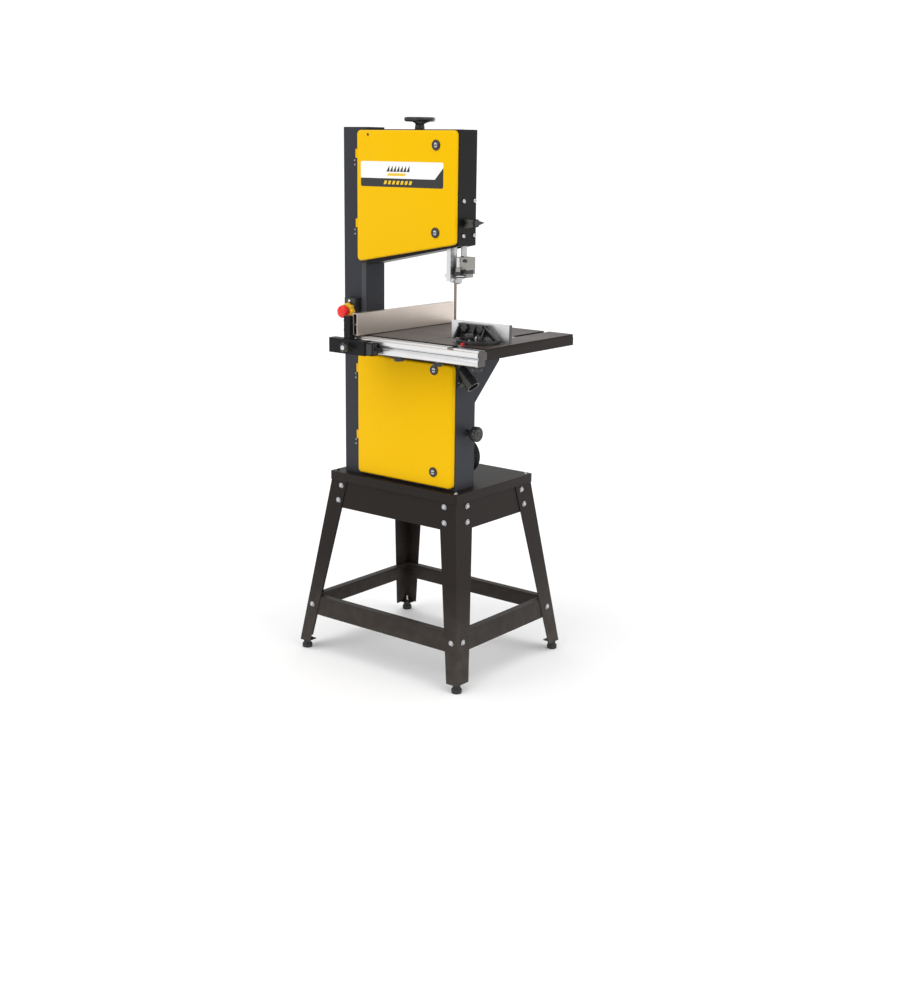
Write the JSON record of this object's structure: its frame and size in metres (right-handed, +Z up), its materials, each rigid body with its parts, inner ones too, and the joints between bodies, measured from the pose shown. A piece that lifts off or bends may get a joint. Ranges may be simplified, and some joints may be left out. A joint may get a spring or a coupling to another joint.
{
  "type": "band saw",
  "caption": "Floor-standing two-wheel band saw on a splayed sheet-metal stand, with yellow folded doors, tilting iron table, rip fence on a front rail and mitre gauge.",
  "frame": {"origin": "floor level, at the middle of the machine's outline seen from above", "axes": "+Z up, +X to the operator's right along the table's front edge, +Y away from the operator"},
  "size_m": [0.6865, 0.5845, 1.572],
  "materials": {
    "stand_paint": "satin near-black stoving paint",
    "frame_paint": "satin charcoal paint",
    "panel_paint": "satin black paint",
    "door_paint": "semi-gloss yellow paint",
    "ground_iron": "ground and oiled cast iron",
    "cast_iron": "painted casting",
    "bright_zinc": "bright zinc plate",
    "steel": "turned steel",
    "blade_steel": "blued blade steel",
    "guard_metal": "satin silver",
    "extrusion": "brushed extrusion",
    "wheel_alloy": "cast and turned",
    "knob_plastic": "moulded black",
    "matte_plastic": "moulded black, fine grain",
    "switch_yellow": "moulded yellow",
    "stop_red": "moulded red",
    "insert_plastic": "moulded red-orange",
    "rubber": "moulded rubber",
    "motor_paint": "satin black paint"
  },
  "bodies": {
    "root": {"stand_legs": "stand_paint", "stand_aprons": "stand_paint", "stand_braces": "stand_paint", "stand_top_plate": "stand_paint", "levelling_feet": "rubber", "stand_bolts": "bright_zinc", "body_bolts": "bright_zinc", "column": "frame_paint", "upper_housing": "panel_paint", "lower_housing": "frame_paint", "table_support": "frame_paint", "hinge_frame_leaves": "frame_paint", "switch_box": "matte_plastic", "switch_collar": "switch_yellow", "dust_chute": "knob_plastic", "lower_spindle": "steel", "saw_blade": "blade_steel", "motor_body": "motor_paint", "drive_belt": "rubber", "guide_post_holder": "cast_iron", "trunnion_base": "cast_iron", "lower_guide": "cast_iron"},
    "upper_door": {"upper_door": "door_paint"},
    "lower_door": {"lower_door": "door_paint"},
    "upper_door_lock_top": {"upper_door_lock_top": "knob_plastic"},
    "upper_door_lock_bottom": {"upper_door_lock_bottom": "knob_plastic"},
    "lower_door_lock_top": {"lower_door_lock_top": "knob_plastic"},
    "lower_door_lock_bottom": {"lower_door_lock_bottom": "knob_plastic"},
    "tension_screw": {"tension_screw": "steel", "tension_handwheel": "matte_plastic"},
    "tension_slide": {"tension_slide": "cast_iron"},
    "tracking_knob": {"tracking_knob": "knob_plastic"},
    "tilt_plate": {"tilt_plate": "steel"},
    "upper_wheel": {"upper_wheel": "wheel_alloy", "upper_tyre": "rubber", "upper_bearings": "steel"},
    "lower_wheel": {"lower_wheel": "wheel_alloy", "lower_tyre": "rubber", "lower_bearings": "steel"},
    "motor_pulley": {"motor_pulley": "wheel_alloy"},
    "belt_knob": {"belt_knob": "knob_plastic"},
    "guide_post": {"guide_post": "steel", "guide_block": "guard_metal", "guide_bearings": "steel", "blade_guard": "guard_metal"},
    "guide_knob": {"guide_knob": "knob_plastic"},
    "table": {"table": "ground_iron", "table_insert": "insert_plastic", "table_trunnion": "cast_iron", "fence_rail": "extrusion", "rail_knobs": "knob_plastic"},
    "tilt_lock": {"tilt_lock": "knob_plastic"},
    "fence": {"fence_profile": "extrusion", "fence_head": "panel_paint"},
    "fence_knob": {"fence_knob": "knob_plastic"},
    "mitre_bar": {"mitre_bar": "steel"},
    "mitre_head": {"mitre_head": "matte_plastic", "mitre_plate": "extrusion"},
    "mitre_knob": {"mitre_knob": "knob_plastic"},
    "stop_button": {"stop_button": "stop_red"}
  },
  "joints": [
    {"name": "upper_door_hinge", "type": "hinge", "parent": "root", "child": "upper_door", "pos_m": [-0.1866, -0.1183, 1.4], "axis": [0, 0, -1], "range_deg": [0, 110]},
    {"name": "lower_door_hinge", "type": "hinge", "parent": "root", "child": "lower_door", "pos_m": [-0.1866, -0.1183, 0.75], "axis": [0, 0, -1], "range_deg": [0, 110]},
    {"name": "upper_door_lock_top_turn", "type": "hinge", "parent": "upper_door", "child": "upper_door_lock_top", "pos_m": [0.1054, -0.1183, 1.498], "axis": [0, -1, 0], "range_deg": [0, 90]},
    {"name": "upper_door_lock_bottom_turn", "type": "hinge", "parent": "upper_door", "child": "upper_door_lock_bottom", "pos_m": [0.1054, -0.1183, 1.268], "axis": [0, 1, 0], "range_deg": [0, 90]},
    {"name": "lower_door_lock_top_turn", "type": "hinge", "parent": "lower_door", "child": "lower_door_lock_top", "pos_m": [0.1054, -0.1183, 0.894], "axis": [0, -1, 0], "range_deg": [0, 90]},
    {"name": "lower_door_lock_bottom_turn", "type": "hinge", "parent": "lower_door", "child": "lower_door_lock_bottom", "pos_m": [0.1054, -0.1183, 0.604], "axis": [0, 1, 0], "range_deg": [0, 90]},
    {"name": "tension_screw_turn", "type": "hinge", "parent": "root", "child": "tension_screw", "pos_m": [-0.0226, -0.0423, 1.5], "axis": [0, 0, 1], "range_deg": [-2401, 0]},
    {"name": "tension_slide_lift", "type": "slide", "parent": "root", "child": "tension_slide", "axis": [0, 0, 1], "range_m": [-0.01, 0]},
    {"name": "tracking_knob_turn", "type": "hinge", "parent": "tension_slide", "child": "tracking_knob", "pos_m": [-0.0286, -0.0313, 1.346], "axis": [0, 1, 0], "range_deg": [-180, 180]},
    {"name": "upper_wheel_tilt", "type": "hinge", "parent": "tension_slide", "child": "tilt_plate", "pos_m": [-0.0286, -0.0433, 1.368], "axis": [1, 0, 0], "range_deg": [-1.01, 1.01]},
    {"name": "lower_wheel_spin", "type": "hinge", "parent": "root", "child": "lower_wheel", "pos_m": [-0.0286, -0.0623, 0.746], "axis": [0, 1, 0], "continuous": true},
    {"name": "upper_wheel_spin", "type": "hinge", "parent": "tilt_plate", "child": "upper_wheel", "pos_m": [-0.0286, -0.0623, 1.368], "axis": [0, 1, 0], "continuous": true},
    {"name": "motor_pulley_spin", "type": "hinge", "parent": "root", "child": "motor_pulley", "pos_m": [0.0824, -0.0413, 0.622], "axis": [0, 1, 0], "continuous": true},
    {"name": "belt_knob_turn", "type": "hinge", "parent": "root", "child": "belt_knob", "pos_m": [0.1784, -0.0603, 0.716], "axis": [1, 0, 0], "range_deg": [-360, 360]},
    {"name": "guide_post_slide", "type": "slide", "parent": "root", "child": "guide_post", "axis": [0, 0, -1], "range_m": [-0.025, 0.14]},
    {"name": "guide_knob_turn", "type": "hinge", "parent": "root", "child": "guide_knob", "pos_m": [0.1784, -0.0623, 1.295], "axis": [1, 0, 0], "range_deg": [0, 270]},
    {"name": "table_tilt", "type": "hinge", "parent": "root", "child": "table", "pos_m": [0.1248, -0.0623, 0.983], "axis": [0, -1, 0], "range_deg": [-45, 0]},
    {"name": "tilt_lock_turn", "type": "hinge", "parent": "root", "child": "tilt_lock", "pos_m": [0.0714, 0.0727, 0.933], "axis": [0, 1, 0], "range_deg": [0, 180]},
    {"name": "fence_slide", "type": "slide", "parent": "table", "child": "fence", "axis": [1, 0, 0], "range_m": [0, 0.178]},
    {"name": "fence_knob_turn", "type": "hinge", "parent": "fence", "child": "fence_knob", "pos_m": [-0.0876, -0.2813, 0.9545], "axis": [0, 1, 0], "range_deg": [0, 270]},
    {"name": "mitre_slide", "type": "slide", "parent": "table", "child": "mitre_bar", "axis": [0, 1, 0], "range_m": [-0.06, 0.16]},
    {"name": "mitre_swing", "type": "hinge", "parent": "mitre_bar", "child": "mitre_head", "pos_m": [0.2474, -0.1113, 0.99], "axis": [0, 0, 1], "range_deg": [-60, 60]},
    {"name": "mitre_knob_turn", "type": "hinge", "parent": "mitre_bar", "child": "mitre_knob", "pos_m": [0.2474, -0.1553, 1], "axis": [0, 0, 1], "range_deg": [0, 180]},
    {"name": "stop_press", "type": "slide", "parent": "root", "child": "stop_button", "axis": [0, 1, 0], "range_m": [0, 0.005], "stiffness_N_per_m": 400, "springref_m": -0.002}
  ],
  "couplings": [
    {"joint": "tension_screw_turn", "follows": "tension_slide_lift", "rad_per_m": 4188.8},
    {"joint": "upper_wheel_tilt", "follows": "tracking_knob_turn", "ratio": 0.0055556},
    {"joint": "upper_wheel_spin", "follows": "lower_wheel_spin", "ratio": 1},
    {"joint": "motor_pulley_spin", "follows": "lower_wheel_spin", "ratio": 2.5}
  ]
}
